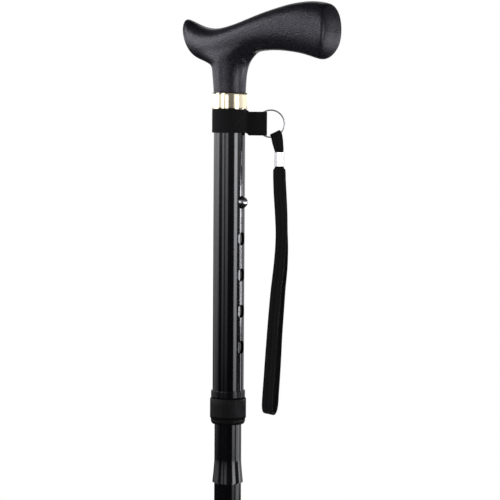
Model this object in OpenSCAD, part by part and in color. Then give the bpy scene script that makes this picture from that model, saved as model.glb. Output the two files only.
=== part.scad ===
// Folding walking cane with a derby handle, telescoping height and three folding joints.
// The origin is the centre of the rubber tip's ground face, +Z runs up the shaft,
// and +X points to the palm end of the handle and to the button holes.

/* [Folding sections] */
// Length of each of the three lower sections, from mouth to mouth
section_l = 168.7; // [140:0.1:200]
// Length of the inner tube that shows below the lock nut at the lowest setting
exposed_l = 41.4; // [30:0.1:60]
// Outer diameter of the inner tube and of the lower tubes
lower_od = 19; // [17:0.1:20]
// Wall of the inner tube and of the lower tubes
lower_wall = 1.2; // [0.8:0.1:1.6]
// Length of the flared bell at the lower end of a tube
bell_l = 16; // [12:0.5:24]
// Radial growth of the bell at its mouth
bell_flare = 1.35; // [1:0.05:1.6]
// How late the bell opens: 1 is a plain cone
bell_power = 1.25; // [1:0.05:2]
// Radius about which a folded section swings, so that folded tubes lie side by side
fold_r = 14; // [14:0.5:18]

/* [Upper tube] */
// Length of the upper tube, from its seat in the lock sleeve to the handle
upper_l = 213.6; // [205:0.1:260]
// Clearance between the sliding inner tube and what it slides in
slide_gap = 0.3; // [0.2:0.05:0.5]
// Wall of the upper tube
upper_wall = 1.2; // [0.8:0.1:1.6]
// Depth from the top of the upper tube to its first button hole
hole_drop = 77.3; // [72:0.1:90]
// Number of button holes
hole_count = 5; // [3:1:5]
// Distance from one button hole to the next
hole_pitch = 25.4; // [20:0.1:26]
// Diameter of a button hole
hole_d = 8.8; // [7:0.1:9]

/* [Snap button] */
// Height of the button's rim above the upper tube
button_proud = 0.6; // [0.4:0.1:1.2]
// Rise of the button's domed top
button_dome = 3.2; // [2:0.1:3.6]
// Clearance of the button in its holes
button_gap = 0.3; // [0.2:0.05:0.5]
// Distance from the button to the top of the inner tube
button_edge = 16; // [12:0.5:18]
// Thickness of the spring clip
clip_t = 0.8; // [0.5:0.1:1]
// Width of the spring clip
clip_w = 8; // [6:0.5:8]
// Length of the spring clip below the button
clip_l = 40; // [30:1:44]
// Inner radius of the clip's bend
clip_bend = 1.6; // [1:0.1:2.5]

/* [Lock nut] */
// Outer diameter of the lock sleeve's plain ring
sleeve_od = 24; // [23.6:0.1:25.4]
// Height of the lock sleeve's plain ring
sleeve_h = 4.9; // [4:0.1:8]
// Depth to which the upper tube sits in the ring
sleeve_seat = 3.9; // [2:0.1:3.9]
// Radial wall of the threaded neck below the ring
neck_wall = 1.4; // [1:0.1:1.5]
// Length of the threaded neck below the ring
neck_l = 12; // [9:0.1:13]
// Outer diameter of the lock nut
nut_od = 25.4; // [25:0.1:27]
// Height of the lock nut
nut_h = 18.6; // [18:0.1:22]
// Height over which the lower end of the nut is rounded
nut_round = 8; // [4:0.1:9]
// Radial width of the rounded lower end, measured from just outside the ribs
nut_tuck = 2.25; // [1:0.05:2.4]
// Number of grip ribs round the nut
nut_ribs = 60; // [24:1:72]
// Depth of the grip ribs
rib_depth = 0.25; // [0.15:0.05:0.4]
// Axial gap between the tightened nut and the sleeve's ring
nut_gap = 0.3; // [0.2:0.05:0.5]
// Radial clearance of the nut on the neck
thread_gap = 0.15; // [0.1:0.05:0.2]
// Height of the split bush that the nut squeezes
bush_h = 4; // [3:0.1:4.5]
// Width of the slit in the bush
bush_slit = 1.6; // [1:0.1:3]
// Axial clearance of the bush in the nut
bush_gap = 0.1; // [0.05:0.05:0.2]

/* [Handle] */
// Reach of the palm end from the shaft's axis
palm_reach = 81.4; // [70:0.1:95]
// Reach of the nose from the shaft's axis
nose_reach = 38.5; // [34:0.1:45]
// Height of the handle from the foot of its stem to the top of its hump
handle_h = 61.2; // [53:0.1:70]
// Greatest thickness of the grip
grip_w = 26.9; // [25:0.1:30]
// Distance by which the lower rim of the palm end is tucked in
palm_tuck = 4; // [0:0.1:6]
// Diameter at the foot of the stem
stem_d = 22.6; // [21:0.1:24]
// Length of the spigot that plugs into the upper tube
handle_plug_l = 40; // [30:1:48]

/* [Collar and band] */
// Outer diameter of the polished collar
collar_od = 24.6; // [24:0.1:26]
// Height of the collar
collar_h = 12.3; // [8:0.1:16]
// Radius of the rounded rims of the collar
collar_rim = 0.6; // [0.3:0.1:0.8]
// Height of the woven band
band_h = 16.7; // [12:0.1:20]
// Thickness of the woven band
band_t = 1.2; // [0.8:0.1:1.6]
// Radial seat clearance of what is pressed or sewn round a tube
seat_gap = 0.05; // [0.02:0.01:0.1]

/* [Tab and ring] */
// Direction in which the tab leaves the band, from +X towards +Y
tab_angle = 33; // [0:1:60]
// Thickness of one layer of the tab
tab_t = 1.1; // [0.8:0.1:1.4]
// Length of the tab's sewn part, from its root to the pocket of the ring
tab_sewn = 4.8; // [3:0.1:8]
// Height of the tab
tab_h = 16.4; // [12:0.1:16.6]
// Drop of the tab's middle below the band's middle
tab_drop = 1.9; // [0:0.1:3]
// Gap between the band and the root of the tab
tab_gap = 0.3; // [0.2:0.05:0.5]
// Outer diameter of the split ring
ring_od = 20; // [18:0.5:26]
// Wire diameter of the split ring
ring_wire = 1.1; // [0.8:0.1:1.4]
// Clearance of the ring's wire in the tab and in the strap
ring_gap = 0.3; // [0.2:0.05:0.4]

/* [Wrist strap] */
// Width of the webbing
strap_w = 8; // [6:0.5:9]
// Thickness of the webbing
strap_t = 1.4; // [1:0.1:1.5]
// Place of the strap on the ring, in degrees below the horizontal
strap_place = 64; // [56:1:90]
// Sideways shift of the crimp from the wire that the strap hangs on
crimp_shift = 2; // [0:0.1:3]
// Drop from the ring's wire to the middle of the crimp
crimp_drop = 16.6; // [15:0.1:20]
// Height of the crimp
crimp_h = 10.5; // [8:0.1:12]
// Wall of the crimp
crimp_wall = 0.4; // [0.3:0.1:0.6]
// Radius of the crimp's upright edges
crimp_round = 1; // [0.7:0.1:1.4]
// Width to which the crimp squeezes the webbing
pinch_w = 5.6; // [4.5:0.1:6.5]
// Length below the crimp in which the webbing opens to its full width
open_l = 3; // [2:0.5:20]
// Length above the crimp in which the webbing opens to its full width
eye_open_l = 9; // [5:0.5:11]
// Angle by which the hanging loop is turned, so that its back layer shows beside the front one
loop_turn = 21; // [0:1:30]
// Drop from the crimp at which the loop starts to turn
turn_drop = 20; // [10:1:40]
// Length over which the loop turns
turn_l = 60; // [40:1:90]

/* [Elastic cord] */
// Diameter of the elastic cord
cord_d = 3; // [2:0.1:3.5]
// Radial clearance of the cord in the plugs
cord_gap = 0.3; // [0.2:0.05:0.5]
// Depth of a spigot in the tube that carries it
spigot_seat = 22; // [15:1:30]
// Height of a spigot above the mouth
spigot_h = 13; // [8:0.5:14]
// Clearance that a folding spigot keeps from the mouth
spigot_gap = 0.45; // [0.35:0.05:0.8]
// Height of the plugs that hold the ends of the cord
anchor_h = 12; // [8:0.5:16]
// Diameter of the knots at the ends of the cord
knot_d = 8; // [6:0.5:10]
// Gap between the spring clip and the upper knot
anchor_drop = 6; // [3:0.5:12]

/* [Rubber tip] */
// Diameter of the ground face
tip_d = 32; // [28:0.5:32.5]
// Diameter of the top rim
tip_top_d = 24.4; // [23:0.1:26]
// Height of the rubber tip
tip_h = 45; // [36:0.5:52]
// Thickness of rubber below the tube
tip_floor = 9; // [6:0.5:12]
// Thickness of the steel washer in the tip
washer_t = 1.5; // [1:0.1:2]
// Height of the wide foot
foot_h = 8; // [6:0.5:12]
// Height of the slope from the foot to the slim part, and of the rim zone
slope_h = 3; // [2:0.1:5]
// Chamfer of the foot's edges
foot_edge = 1; // [0.5:0.1:1.5]
// Radial growth of the top rim
rim_proud = 0.6; // [0.3:0.1:1]
// Number of round tread grooves
tread_count = 2; // [1:1:3]
// Width of a tread groove
tread_w = 1.2; // [0.8:0.1:1.6]
// Depth of the tread grooves
tread = 1.5; // [0.8:0.1:2]

/* [Hidden] */
$fn = 64;

// Small overlap that keeps cuts clean
cut = 0.5;

// Heights of the three folding mouths, counted from the top
mouth_1 = 3 * section_l;
mouth_2 = 2 * section_l;
mouth_3 = section_l;

// Radii of the tubes
lower_r = lower_od / 2;
lower_bore_r = lower_r - lower_wall;
upper_bore_r = lower_r + slide_gap;
upper_r = upper_bore_r + upper_wall;
mouth_r = lower_r + bell_flare;

// Heights of the lock nut, the sleeve and the upper tube
nut_z = mouth_1 + exposed_l;
sleeve_z = nut_z + nut_h + nut_gap;
sleeve_top = sleeve_z + sleeve_h;
upper_z = sleeve_top - sleeve_seat;
upper_top = upper_z + upper_l;
neck_z = sleeve_z - neck_l;
neck_r = upper_bore_r + neck_wall;
nut_bore_r = neck_r + thread_gap;
bush_top = neck_z - bush_gap;
bush_z = bush_top - bush_h;

// Height of the button, which sits in the first hole at the lowest setting
button_z = upper_top - hole_drop;
button_r = hole_d / 2 - button_gap;
button_rim_x = upper_r + button_proud;
clip_x = sqrt(pow(lower_bore_r - button_gap / 2, 2) - pow(clip_w / 2, 2));
clip_z = button_z - clip_l;
inner_top = button_z + button_edge;

// Collar, band, tab and ring
collar_z = upper_top - collar_h;
band_z = collar_z - band_h;
band_r = upper_r + seat_gap + band_t;
knuckle_u = band_r + tab_gap + tab_t;
tab_z = band_z + band_h / 2 - tab_drop;
ring_r = (ring_od - ring_wire) / 2;
ring_in_r = ring_r - ring_wire / 2;
pocket_t = ring_wire + 2 * ring_gap;
// The ring's inner edge leaves the pocket where the circle crosses the tab's upper and lower edge
ring_chord = sqrt(pow(ring_in_r, 2) - pow(tab_h / 2, 2));
pocket_in = knuckle_u + tab_sewn;
ring_u = pocket_in + ring_gap + ring_od / 2;
pocket_out = ring_u - ring_chord + ring_gap;

// Strap: the wire that it hangs from, the fold over it and the crimp below
wire_u = ring_u + ring_r * cos(strap_place);
wire_z = tab_z - ring_r * sin(strap_place);
fold_tilt = 90 - strap_place;
fold_sag = ring_r - sqrt(pow(ring_r, 2) - pow(strap_w / 2, 2));
eye_r = ring_wire / 2 + fold_sag + ring_gap / 2 + strap_t / 2;
crimp_u = wire_u + crimp_shift;
crimp_z = wire_z - crimp_drop;
leg_v = strap_t / 2 + ring_gap / 2;
crimp_in_w = pinch_w + ring_gap;
crimp_in_d = 2 * leg_v + strap_t + ring_gap;

// Elastic cord and its plugs
cord_r = cord_d / 2;
cord_hole_r = cord_r + cord_gap;
plug_r = lower_bore_r - seat_gap;
knot_top_z = clip_z - anchor_drop - knot_d / 2;
anchor_top = knot_top_z - knot_d / 2 + cord_gap;
anchor_z = anchor_top - anchor_h;
tip_bore_r = lower_r + seat_gap;
tube_4_z = tip_floor + washer_t;
tread_pitch = (tip_d / 2 - foot_edge) / (tread_count + 2);
end_plug_z = tube_4_z + knot_d + cord_gap;
// Largest radius of a spigot at height h, so that it swings out of the mouth without touching it
function spigot_r(h) = min(plug_r, sqrt(pow(fold_r + mouth_r - lower_wall - spigot_gap, 2) - h * h) - fold_r);

// Grip stations: share of the reach, top and bottom as shares of the height, half thickness as a share
grip_stations = [
    [-1.000, 0.781, 0.631, 0.22],
    [-0.975, 0.810, 0.575, 0.39],
    [-0.920, 0.820, 0.503, 0.53],
    [-0.805, 0.801, 0.418, 0.65],
    [-0.650, 0.761, 0.368, 0.76],
    [-0.470, 0.719, 0.335, 0.845],
    [-0.285, 0.704, 0.330, 0.915],
    [-0.080, 0.719, 0.340, 0.963],
    [0.075, 0.757, 0.369, 0.98],
    [0.200, 0.812, 0.422, 0.98],
    [0.335, 0.876, 0.456, 0.98],
    [0.475, 0.931, 0.461, 0.98],
    [0.620, 0.979, 0.443, 0.985],
    [0.760, 1.000, 0.412, 0.99],
    [0.870, 0.997, 0.373, 0.996],
    [0.950, 0.982, 0.351, 1.00],
    [0.985, 0.974, 0.351, 1.00],
    [1.000, 0.964, 0.361, 0.99],
    [1.010, 0.907, 0.417, 0.82]];
// Stem rings: height as a share, reach towards the nose, the palm and the sides in stem radii
stem_rings = [
    [0.000, 1.000, 1.000, 1.000],
    [0.140, 1.045, 1.035, 1.035],
    [0.234, 1.100, 1.110, 1.075],
    [0.286, 1.190, 1.200, 1.100],
    [0.315, 1.380, 1.280, 1.115],
    [0.335, 1.620, 1.350, 1.125],
    [0.370, 1.950, 1.500, 1.140],
    [0.400, 2.150, 1.680, 1.145],
    [0.430, 2.300, 1.930, 1.150],
    [0.460, 2.450, 2.300, 1.140],
    [0.500, 2.550, 2.800, 1.120]];
grip_count = 28;
stem_count = 28;
grip_power = 2.5;

// Route of the strap's hanging loop, from the crimp down its front layer and up its back layer:
// offset from the crimp along the tab's direction, depth in leg offsets, height from the crimp's middle
strap_route = [
    [0, -1, 0], [0, -1, -6], [0.05, -1.05, -7.5], [0.1, -1.15, -9], [0.2, -1.4, -14],
    [0.6, -2.1, -24], [1.2, -2.8, -36],
    [1.6, -3.5, -50], [1.2, -4.2, -62], [0, -4.9, -76], [-1.6, -5.5, -90], [-3, -6, -106],
    [-4.2, -6.35, -122], [-5.3, -6.6, -138], [-6.2, -6.7, -152], [-7, -6.6, -164], [-7.4, -6, -171],
    [-7.2, -4.5, -175.6], [-6.4, -1.9, -178], [-5.2, 1.4, -178.3], [-4, 4.2, -176.2],
    [-3.2, 5.9, -172], [-2.8, 6.6, -165], [-2, 6.7, -152], [-1.3, 6.6, -138], [-0.6, 6.35, -122],
    [0.4, 6, -106], [1.4, 5.5, -90], [2.6, 4.9, -76], [2.9, 4.2, -62], [2.4, 3.5, -50],
    [1.8, 2.8, -36], [0.9, 2.1, -24], [0.3, 1.4, -14], [0.15, 1.15, -9], [0.05, 1.05, -7.5], [0, 1, -6],
    [0, 1, 0]];
// Corners of a flat webbing section, as shares of its half width and half thickness
webbing_section = [
    [1, -0.4], [1, 0.4], [0.85, 1], [-0.85, 1],
    [-1, 0.4], [-1, -0.4], [-0.85, -1], [0.85, -1]];

function unit(v) = v / norm(v);
function ease(t) = let (c = max(0, min(1, t))) c * c * (3 - 2 * c);

// A point of the smooth curve through the rows p[i] and p[i + 1]
function curve_point(p, i, t) =
    let (n = len(p) - 1, a = p[max(i - 1, 0)], b = p[i], c = p[i + 1], d = p[min(i + 2, n)])
    0.5 * (2 * b + (c - a) * t + (2 * a - 5 * b + 4 * c - d) * t * t + (3 * b - a - 3 * c + d) * t * t * t);
function smooth_rows(p, steps) = concat(
    [for (i = [0:len(p) - 2], k = [0:steps - 1]) curve_point(p, i, k / steps)],
    [p[len(p) - 1]]);

// Signed power that squares a round section
function squared(v, power) = sign(v) * pow(abs(v), 2 / power);

// A closed solid through rings of points
module loft(rings) {
    n = len(rings);
    m = len(rings[0]);
    sides = [for (i = [0:n - 2], j = [0:m - 1], half = [0, 1]) half == 0
        ? [i * m + j, (i + 1) * m + j, i * m + (j + 1) % m]
        : [i * m + (j + 1) % m, (i + 1) * m + j, (i + 1) * m + (j + 1) % m]];
    first_cap = [for (j = [1:m - 2]) [0, j, j + 1]];
    last_cap = [for (j = [1:m - 2]) (n - 1) * m * [1, 1, 1] + [0, j + 1, j]];
    polyhedron(points = [for (r = rings, p = r) p], faces = concat(sides, first_cap, last_cap));
}

// A ring of the grip across X, and one of the stem across Z
function grip_ring(s) =
    let (
        x = s[0] * (s[0] < 0 ? nose_reach : palm_reach),
        mid = upper_top + handle_h * (s[1] + s[2]) / 2,
        half = handle_h * (s[1] - s[2]) / 2,
        tuck = palm_tuck * pow(max(0, s[0]), 3))
    [for (j = [0:grip_count - 1])
        let (
            a = 360 * j / grip_count,
            up = squared(sin(a), grip_power))
        [x - tuck * pow(min(0, up), 2),
            grip_w / 2 * s[3] * squared(cos(a), grip_power),
            mid + half * up]];
function stem_ring(s) =
    let (r = stem_d / 2)
    [for (j = [0:stem_count - 1])
        let (a = 360 * j / stem_count)
        [r * cos(a) * (cos(a) < 0 ? s[1] : s[2]),
            r * s[3] * sin(a),
            upper_top + handle_h * s[0]]];

// A tube whose lower end flares into a bell
module belled_tube(z, top) {
    steps = 6;
    flare = [for (i = [0:steps]) let (t = i / steps) [bell_flare * pow(t, bell_power), z + bell_l * (1 - t)]];
    rotate_extrude()
        polygon(concat(
            [[lower_r, top]],
            [for (p = flare) [lower_r + p[0], p[1]]],
            [for (i = [steps:-1:0]) [lower_bore_r + flare[i][0], flare[i][1]]],
            [[lower_bore_r, top]]));
}

module ring_of(r_out, r_in, z, h) {
    translate([0, 0, z])
        difference() {
            cylinder(r = r_out, h = h);
            translate([0, 0, -cut]) cylinder(r = r_in, h = h + 2 * cut);
        }
}

module handle_grip() {
    color([0.13, 0.13, 0.14])
        union() {
            loft([for (s = smooth_rows(grip_stations, 2)) grip_ring(s)]);
            loft([for (s = smooth_rows(stem_rings, 2)) stem_ring(s)]);
            translate([0, 0, upper_top - handle_plug_l])
                cylinder(r = upper_bore_r - seat_gap, h = handle_plug_l + cut);
        }
}

module gold_collar() {
    r = collar_od / 2;
    c = collar_rim;
    color([0.83, 0.67, 0.30])
        translate([0, 0, collar_z])
            rotate_extrude()
                difference() {
                    union() {
                        translate([upper_r + seat_gap, 0]) square([r - c - upper_r - seat_gap, collar_h]);
                        translate([r - 2 * c, c]) square([2 * c, collar_h - 2 * c]);
                        for (z = [c, collar_h - c]) translate([r - c, z]) circle(r = c);
                    }
                    square([upper_r + seat_gap, collar_h]);
                }
}

module upper_tube() {
    color([0.05, 0.05, 0.06])
        difference() {
            ring_of(upper_r, upper_bore_r, upper_z, upper_l);
            for (i = [0:hole_count - 1])
                translate([0, 0, button_z - i * hole_pitch])
                    rotate([0, 90, 0]) cylinder(d = hole_d, h = upper_r + cut);
        }
}

module strap_band() {
    color([0.06, 0.06, 0.06]) ring_of(band_r, upper_r + seat_gap, band_z, band_h);
}

// Folded tab: a flat sewn part with a round root, then a pocket for the ring
module ring_tab() {
    pocket_r = pocket_t / 2 + tab_t;
    color([0.06, 0.06, 0.06])
        rotate([0, 0, tab_angle])
            translate([0, 0, tab_z - tab_h / 2])
                linear_extrude(height = tab_h)
                    difference() {
                        union() {
                            translate([knuckle_u, 0]) circle(r = tab_t);
                            translate([knuckle_u, -tab_t]) square([pocket_in - knuckle_u, 2 * tab_t]);
                            translate([pocket_in - tab_t, -pocket_r])
                                square([pocket_out - pocket_t / 2 - pocket_in + tab_t, 2 * pocket_r]);
                            translate([pocket_out - pocket_t / 2, 0]) circle(r = pocket_r);
                        }
                        translate([pocket_in, -pocket_t / 2])
                            square([pocket_out - pocket_t / 2 - pocket_in, pocket_t]);
                        translate([pocket_out - pocket_t / 2, 0]) circle(r = pocket_t / 2);
                    }
}

module split_ring() {
    color([0.75, 0.75, 0.77])
        rotate([0, 0, tab_angle])
            translate([ring_u, 0, tab_z])
                rotate([90, 0, 0])
                    rotate_extrude() translate([ring_r, 0]) circle(d = ring_wire, $fn = 32);
}

// A flat webbing along points, with the width's direction and the width given at each point
module webbing(points, across, widths) {
    n = len(points) - 1;
    rotate([0, 0, tab_angle])
        loft([for (i = [0:n])
            let (
                along = unit(points[min(i + 1, n)] - points[max(i - 1, 0)]),
                face = unit(cross(along, across[i])),
                side = cross(face, along))
            [for (c = webbing_section) points[i] + side * c[0] * widths[i] / 2 + face * c[1] * strap_t / 2]]);
}

// Upper loop of the strap: up from the crimp, over the ring's wire and down again
module strap_eye() {
    up = [-sin(fold_tilt), 0, cos(fold_tilt)];
    legs = [[crimp_u, leg_v, crimp_z + ring_gap / 2], [crimp_u, leg_v, crimp_z + crimp_h / 2],
        [(crimp_u + wire_u) / 2, (leg_v + eye_r) / 2, (crimp_z + wire_z + crimp_h / 2) / 2]];
    fold = [for (a = [0:22.5:180]) [wire_u, 0, wire_z] + eye_r * ([0, -cos(a), 0] + sin(a) * up)];
    points = concat(
        [for (p = legs) [p[0], -p[1], p[2]]],
        fold,
        [for (i = [2:-1:0]) legs[i]]);
    share = [for (p = points) ease((p[2] - crimp_z - crimp_h / 2) / (wire_z - crimp_z - crimp_h / 2))];
    open = [for (p = points) ease((p[2] - crimp_z - crimp_h / 2) / eye_open_l)];
    color([0.06, 0.06, 0.06])
        webbing(points,
            [for (s = share) [cos(s * fold_tilt), 0, sin(s * fold_tilt)]],
            [for (s = open) pinch_w + (strap_w - pinch_w) * s]);
}

module rounded_slab(w, d, r, h) {
    linear_extrude(height = h)
        union() {
            square([w - 2 * r, d], center = true);
            square([w, d - 2 * r], center = true);
            for (x = [-1, 1], y = [-1, 1])
                translate([x * (w / 2 - r), y * (d / 2 - r)]) circle(r = r);
        }
}

module strap_crimp() {
    walls = 2 * crimp_wall;
    color([0.80, 0.80, 0.82])
        rotate([0, 0, tab_angle])
            translate([crimp_u, 0, crimp_z - crimp_h / 2])
                difference() {
                    rounded_slab(crimp_in_w + walls, crimp_in_d + walls, crimp_round, crimp_h);
                    translate([0, 0, -cut])
                        rounded_slab(crimp_in_w, crimp_in_d, crimp_round - crimp_wall, crimp_h + 2 * cut);
                }
}

// Hanging loop, turned so that its back layer shows beside its front layer
module wrist_strap() {
    points = [for (p = strap_route) [crimp_u + p[0], p[1] * leg_v, crimp_z - ring_gap / 2 + p[2]]];
    turn = [for (p = strap_route) -loop_turn * ease((-p[2] - turn_drop) / turn_l)];
    open = [for (p = strap_route) ease((-p[2] - crimp_h / 2) / open_l)];
    color([0.06, 0.06, 0.06])
        webbing(points,
            [for (a = turn) [cos(a), sin(a), 0]],
            [for (s = open) pinch_w + (strap_w - pinch_w) * s]);
}

module lock_sleeve() {
    color([0.05, 0.05, 0.06])
        difference() {
            union() {
                translate([0, 0, sleeve_z]) cylinder(d = sleeve_od, h = sleeve_h);
                translate([0, 0, neck_z]) cylinder(r = neck_r, h = neck_l + cut);
            }
            translate([0, 0, neck_z - cut]) cylinder(r = upper_bore_r, h = neck_l + sleeve_h + 2 * cut);
            translate([0, 0, upper_z]) cylinder(r = upper_r + seat_gap, h = sleeve_seat + cut);
        }
}

module lock_bush() {
    color([0.85, 0.85, 0.82])
        difference() {
            ring_of(nut_bore_r - thread_gap, upper_bore_r, bush_z, bush_h);
            translate([-bush_slit / 2, 0, bush_z - cut]) cube([bush_slit, nut_od, bush_h + 2 * cut]);
        }
}

module lock_nut() {
    r = nut_od / 2;
    round_r = r + rib_depth;
    steps = 6;
    edge = [for (i = [0:steps])
        let (a = 90 * i / steps) [round_r - nut_tuck * (1 - sin(a)), nut_round * (1 - cos(a))]];
    ribbed = [for (i = [0:2 * nut_ribs - 1])
        (r - (i % 2) * rib_depth) * [cos(180 * i / nut_ribs), sin(180 * i / nut_ribs)]];
    floor_h = bush_z - bush_gap - nut_z;
    color([0.09, 0.09, 0.09])
        translate([0, 0, nut_z])
            difference() {
                intersection() {
                    linear_extrude(height = nut_h) polygon(ribbed);
                    rotate_extrude()
                        polygon(concat([[0, 0]], edge, [[round_r, nut_h + cut], [0, nut_h + cut]]));
                }
                translate([0, 0, -cut]) cylinder(r = upper_bore_r, h = nut_h);
                translate([0, 0, floor_h]) cylinder(r = nut_bore_r, h = nut_h);
            }
}

// One-piece spring clip: the button, its straight leg, the bend and the leg against the far wall
module snap_button() {
    bend_r = clip_bend + clip_t;
    leg_l = button_r + 2 * clip_t;
    color([0.85, 0.85, 0.87])
        union() {
            translate([clip_x - clip_t, 0, button_z])
                rotate([0, 90, 0]) {
                    cylinder(r = button_r, h = button_rim_x - clip_x + clip_t);
                    translate([0, 0, button_rim_x - clip_x + clip_t])
                        rotate_extrude()
                            intersection() {
                                dome_r = (pow(button_r, 2) + pow(button_dome, 2)) / (2 * button_dome);
                                translate([0, button_dome - dome_r]) circle(r = dome_r);
                                square([button_r, button_dome]);
                            }
                }
            translate([clip_x - clip_t, -clip_w / 2, button_z - leg_l])
                cube([clip_t, clip_w, 2 * leg_l]);
            for (side = [[1, button_z - leg_l], [-1, button_z]])
                sloped_leg(side[0], side[1], bend_r);
            translate([0, -clip_w / 2, clip_z])
                rotate([-90, 0, 0])
                    difference() {
                        cylinder(r = bend_r, h = clip_w);
                        translate([0, 0, -cut]) cylinder(r = bend_r - clip_t, h = clip_w + 2 * cut);
                        translate([-2 * bend_r, -2 * bend_r, -cut])
                            cube([4 * bend_r, 2 * bend_r, clip_w + 2 * cut]);
                    }
        }
}

// A leg of the clip from its bend up to height z beside one wall of the tube
module sloped_leg(side, z, bend_r) {
    foot = bend_r;
    head = clip_x;
    rise = z - clip_z;
    translate([0, clip_w / 2, clip_z])
        rotate([90, 0, 0])
            linear_extrude(height = clip_w)
                polygon([[side * foot, 0], [side * head, rise],
                    [side * (head - clip_t), rise], [side * (foot - clip_t), 0]]);
}

module inner_tube() {
    color([0.05, 0.05, 0.06])
        difference() {
            belled_tube(mouth_1, inner_top);
            translate([0, 0, button_z]) rotate([0, 90, 0]) cylinder(d = hole_d, h = lower_r + cut);
        }
}

module cord_anchor() {
    color([0.85, 0.85, 0.82]) ring_of(plug_r, cord_hole_r, anchor_z, anchor_h);
}

module knot(z) {
    color([0.15, 0.15, 0.17]) translate([0, 0, z]) sphere(d = knot_d);
}

module cord_knot_top() {
    knot(knot_top_z);
}

module cord_piece(z, top) {
    color([0.20, 0.20, 0.22]) translate([0, 0, z]) cylinder(r = cord_r, h = top - z);
}

// The cord starts below its upper knot and ends above its lower one
module elastic_cord_1() {
    cord_piece(mouth_1 + spigot_h + cord_gap, anchor_top - cord_gap);
}

module elastic_cord_2() {
    cord_piece(mouth_2 + spigot_h + cord_gap, mouth_1 - cord_gap);
}

module elastic_cord_3() {
    cord_piece(mouth_3 + spigot_h + cord_gap, mouth_2 - cord_gap);
}

module elastic_cord_4() {
    cord_piece(end_plug_z + cord_gap, mouth_3 - cord_gap);
}

// The short stretch of cord that bridges a folding joint, inside the spigot at rest
module cord_span(mouth) {
    cord_piece(mouth, mouth + spigot_h);
}

module cord_span_1() {
    cord_span(mouth_1);
}

module cord_span_2() {
    cord_span(mouth_2);
}

module cord_span_3() {
    cord_span(mouth_3);
}

module section_2_tube() {
    color([0.05, 0.05, 0.06]) belled_tube(mouth_2, mouth_1);
}

module section_3_tube() {
    color([0.05, 0.05, 0.06]) belled_tube(mouth_3, mouth_2);
}

module section_4_tube() {
    color([0.05, 0.05, 0.06]) ring_of(lower_r, lower_bore_r, tube_4_z, mouth_3 - tube_4_z);
}

// Bullet-nosed plug with a bore for the cord
module spigot(mouth) {
    steps = 8;
    nose = [for (i = [0:steps]) let (h = spigot_h * i / steps) [spigot_r(h), mouth + h]];
    color([0.30, 0.30, 0.32])
        difference() {
            rotate_extrude()
                polygon(concat(
                    [[0, mouth - spigot_seat], [plug_r, mouth - spigot_seat]],
                    nose,
                    [[0, mouth + spigot_h]]));
            translate([0, 0, mouth - spigot_seat - cut])
                cylinder(r = cord_hole_r, h = spigot_seat + spigot_h + 2 * cut);
        }
}

module section_2_spigot() {
    spigot(mouth_1);
}

module section_3_spigot() {
    spigot(mouth_2);
}

module section_4_spigot() {
    spigot(mouth_3);
}

module cord_end_plug() {
    color([0.85, 0.85, 0.82]) ring_of(plug_r, cord_hole_r, end_plug_z, anchor_h);
}

module cord_knot_bottom() {
    knot(tube_4_z + knot_d / 2 + cord_gap / 2);
}

module rubber_tip() {
    r = tip_d / 2;
    top_r = tip_top_d / 2;
    e = foot_edge;
    color([0.10, 0.10, 0.10])
        difference() {
            rotate_extrude()
                polygon([[0, 0], [r - e, 0], [r, e], [r, foot_h - 2 * e], [r - e, foot_h],
                    [top_r + rim_proud, foot_h + slope_h],
                    [top_r, tip_h - slope_h], [top_r + rim_proud, tip_h - slope_h + rim_proud],
                    [top_r + rim_proud, tip_h - rim_proud], [top_r, tip_h], [0, tip_h]]);
            translate([0, 0, tip_floor]) cylinder(r = tip_bore_r, h = tip_h);
            for (i = [1:tread_count])
                ring_of(tread_pitch * (i + 0.5) + tread_w, tread_pitch * (i + 0.5), -cut, tread + cut);
        }
}

module tip_washer() {
    color([0.70, 0.70, 0.72])
        translate([0, 0, tip_floor]) cylinder(r = lower_r - seat_gap, h = washer_t);
}

handle_grip();
gold_collar();
upper_tube();
strap_band();
ring_tab();
split_ring();
strap_eye();
strap_crimp();
wrist_strap();
lock_sleeve();
lock_bush();
lock_nut();
snap_button();
inner_tube();
cord_anchor();
cord_knot_top();
elastic_cord_1();
cord_span_1();
section_2_tube();
section_2_spigot();
elastic_cord_2();
cord_span_2();
section_3_tube();
section_3_spigot();
elastic_cord_3();
cord_span_3();
section_4_tube();
section_4_spigot();
elastic_cord_4();
cord_end_plug();
cord_knot_bottom();
rubber_tip();
tip_washer();
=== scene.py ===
from math import asin, atan2, cos, pi, radians, sin, sqrt
import bmesh
import bpy
from mathutils import Matrix, Quaternion, Vector


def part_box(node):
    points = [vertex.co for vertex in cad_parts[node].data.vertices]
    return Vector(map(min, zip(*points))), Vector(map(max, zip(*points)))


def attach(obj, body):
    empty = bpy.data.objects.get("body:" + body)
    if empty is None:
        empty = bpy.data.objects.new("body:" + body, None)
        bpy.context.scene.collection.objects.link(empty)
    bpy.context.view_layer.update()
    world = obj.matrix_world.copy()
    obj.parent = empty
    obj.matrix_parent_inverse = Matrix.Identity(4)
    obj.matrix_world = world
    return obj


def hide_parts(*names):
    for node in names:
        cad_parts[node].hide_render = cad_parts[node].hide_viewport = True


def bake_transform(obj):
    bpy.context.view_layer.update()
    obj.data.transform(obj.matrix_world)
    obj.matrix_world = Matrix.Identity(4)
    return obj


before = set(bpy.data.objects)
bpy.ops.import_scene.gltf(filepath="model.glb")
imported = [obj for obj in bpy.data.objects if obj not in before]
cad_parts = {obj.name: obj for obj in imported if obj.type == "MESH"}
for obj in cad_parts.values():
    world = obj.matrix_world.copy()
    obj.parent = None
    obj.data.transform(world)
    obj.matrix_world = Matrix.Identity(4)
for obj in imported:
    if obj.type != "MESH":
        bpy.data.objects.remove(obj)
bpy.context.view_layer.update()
scene = bpy.context.scene
mm = 0.001

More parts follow.
